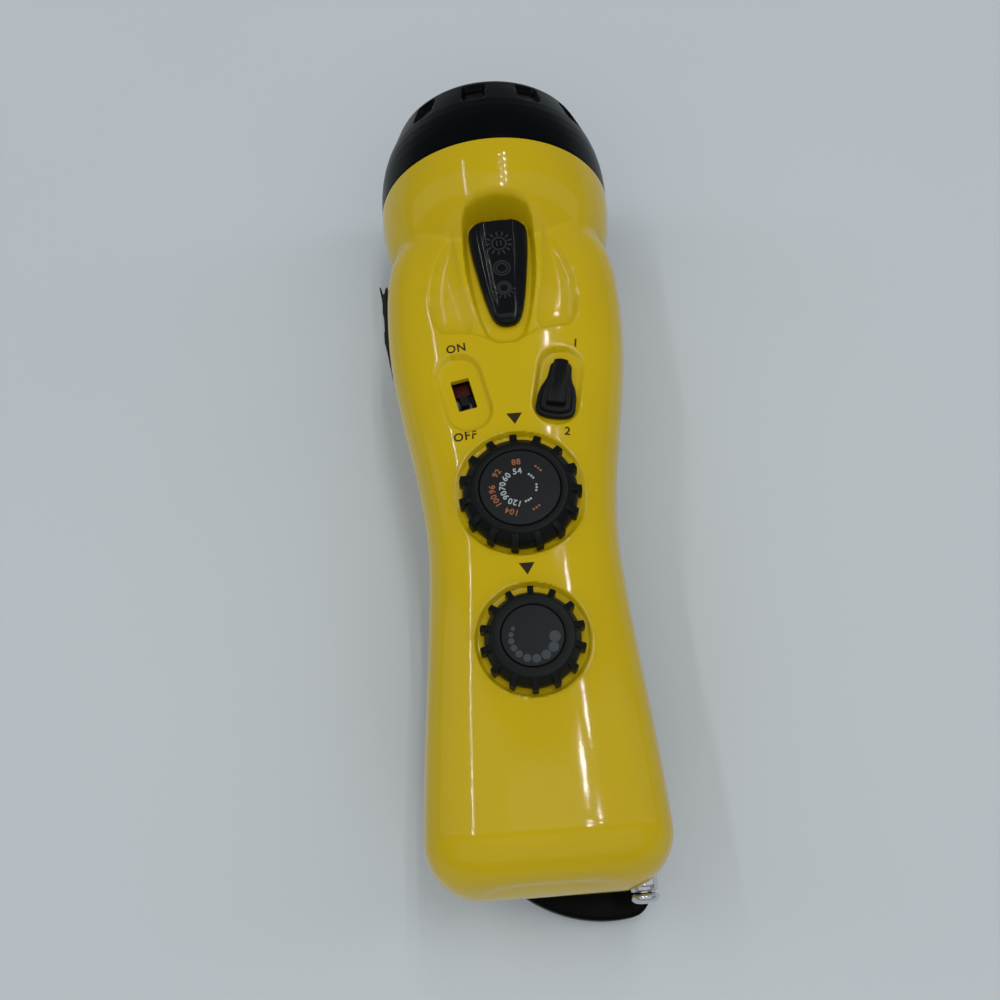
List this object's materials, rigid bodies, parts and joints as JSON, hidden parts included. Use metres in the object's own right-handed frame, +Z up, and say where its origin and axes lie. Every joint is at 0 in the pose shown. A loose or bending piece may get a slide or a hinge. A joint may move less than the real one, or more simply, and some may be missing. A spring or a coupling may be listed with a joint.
{
  "type": "hand crank flashlight",
  "caption": "Yellow hand crank flashlight with a radio: light slider, two slide switches, tuning and volume dials, telescopic antenna, port cover and a crank that turns a geared generator.",
  "frame": {"origin": "on the ground, under the middle of the whole length, with the controls facing up", "axes": "+Y along the body toward the lamp, +Z up out of the control side, +X to the right seen from the tail"},
  "size_m": [0.0632, 0.2066, 0.062],
  "materials": {
    "yellow": "glossy",
    "satin_black": "satin",
    "gloss_black": "glossy",
    "charcoal": "matte",
    "label": "matte",
    "rubber": "matte",
    "chrome": "polished",
    "steel": "satin",
    "brass": "satin",
    "copper": "satin",
    "magnet": "matte",
    "mirror": "polished",
    "clear": "glossy",
    "lamp": "glossy",
    "board": "matte",
    "nylon": "matte",
    "grey_plastic": "matte",
    "battery_wrap": "satin"
  },
  "bodies": {
    "casing": {"front_shell": "yellow", "back_shell": "yellow", "bezel_ring": "satin_black", "speaker_frame": "satin_black", "power_jack": "gloss_black", "phone_jack": "gloss_black", "lens_gasket": "rubber", "port_anchor": "rubber", "antenna_tube": "chrome", "light_switch_body": "steel", "function_switch_body": "steel", "band_switch_body": "steel", "volume_potentiometer": "steel", "gear_axle": "steel", "body_screw_1": "steel", "body_screw_2": "steel", "body_screw_3": "steel", "body_screw_4": "steel", "crank_bushing": "brass", "generator_stator": "copper", "ferrite_coil": "copper", "speaker_magnet": "magnet", "ferrite_rod": "magnet", "reflector": "mirror", "lens": "clear", "led_1": "lamp", "led_2": "lamp", "led_3": "lamp", "led_board": "board", "main_board": "board", "switch_board": "board", "tuning_capacitor": "nylon", "gearbox_plate": "grey_plastic", "battery_pack": "battery_wrap"},
    "light_slider": {"light_slider": "gloss_black", "light_switch_lever": "nylon"},
    "function_switch": {"function_switch_lever": "satin_black"},
    "band_switch": {"band_switch_lever": "satin_black", "band_switch_cap": "satin_black"},
    "tuning_dial": {"tuning_dial": "charcoal", "tuning_label": "label", "tuning_shaft": "nylon"},
    "volume_dial": {"volume_dial": "charcoal", "volume_label": "label", "volume_shaft": "nylon"},
    "antenna_section_1": {"antenna_section_1": "chrome"},
    "antenna_section_2": {"antenna_section_2": "chrome"},
    "antenna_section_3": {"antenna_section_3": "chrome", "antenna_tip": "chrome"},
    "port_cover": {"port_cover": "rubber"},
    "crank": {"crank_arm": "satin_black", "crank_shaft": "steel", "crank_screw": "steel", "knob_pin": "steel", "drive_gear": "nylon"},
    "knob_stem": {"knob_stem": "steel"},
    "knob_grip": {"knob_grip": "satin_black"},
    "reduction_gear": {"reduction_gear": "nylon"},
    "generator_rotor": {"generator_rotor": "magnet"}
  },
  "joints": [
    {"name": "light_slide", "type": "slide", "parent": "casing", "child": "light_slider", "axis": [0, 1, 0], "range_m": [-0.003, 0.003]},
    {"name": "function_slide", "type": "slide", "parent": "casing", "child": "function_switch", "axis": [-0.1788, 0.9839, 0], "range_m": [0, 0.003]},
    {"name": "band_slide", "type": "slide", "parent": "casing", "child": "band_switch", "axis": [0.1788, 0.9839, 0], "range_m": [0, 0.003]},
    {"name": "tuning_turn", "type": "hinge", "parent": "casing", "child": "tuning_dial", "pos_m": [0, -0.0139, 0.05], "axis": [0, 0, 1], "range_deg": [-180, 0]},
    {"name": "volume_turn", "type": "hinge", "parent": "casing", "child": "volume_dial", "pos_m": [0, -0.048, 0.05], "axis": [0, 0, 1], "range_deg": [-285, 0]},
    {"name": "antenna_slide_1", "type": "slide", "parent": "casing", "child": "antenna_section_1", "axis": [0.0279, -0.9996, 0], "range_m": [0, 0.05]},
    {"name": "antenna_slide_2", "type": "slide", "parent": "antenna_section_1", "child": "antenna_section_2", "axis": [0.0279, -0.9996, 0], "range_m": [0, 0.05]},
    {"name": "antenna_slide_3", "type": "slide", "parent": "antenna_section_2", "child": "antenna_section_3", "axis": [0.0279, -0.9996, 0], "range_m": [0, 0.05]},
    {"name": "port_cover_swing", "type": "hinge", "parent": "casing", "child": "port_cover", "pos_m": [-0.0308, 0.0312, 0.03], "axis": [0, 0, 1], "range_deg": [0, 100]},
    {"name": "crank_turn", "type": "hinge", "parent": "casing", "child": "crank", "pos_m": [0, -0.0323, 0.004], "axis": [0, 0, 1], "continuous": true},
    {"name": "knob_fold", "type": "hinge", "parent": "crank", "child": "knob_stem", "pos_m": [0.006, -0.0603, 0.004], "axis": [1, 0, 0], "range_deg": [0, 90]},
    {"name": "knob_spin", "type": "hinge", "parent": "knob_stem", "child": "knob_grip", "pos_m": [0.006, -0.0603, 0.004], "axis": [0, 1, 0], "continuous": true},
    {"name": "reduction_turn", "type": "hinge", "parent": "casing", "child": "reduction_gear", "pos_m": [0, -0.0113, 0.022], "axis": [0, 0, 1], "continuous": true},
    {"name": "rotor_turn", "type": "hinge", "parent": "casing", "child": "generator_rotor", "pos_m": [0, 0.0077, 0.02], "axis": [0, 0, 1], "continuous": true}
  ],
  "couplings": [
    {"joint": "reduction_turn", "follows": "crank_turn", "ratio": -3.2},
    {"joint": "rotor_turn", "follows": "crank_turn", "ratio": 12}
  ]
}
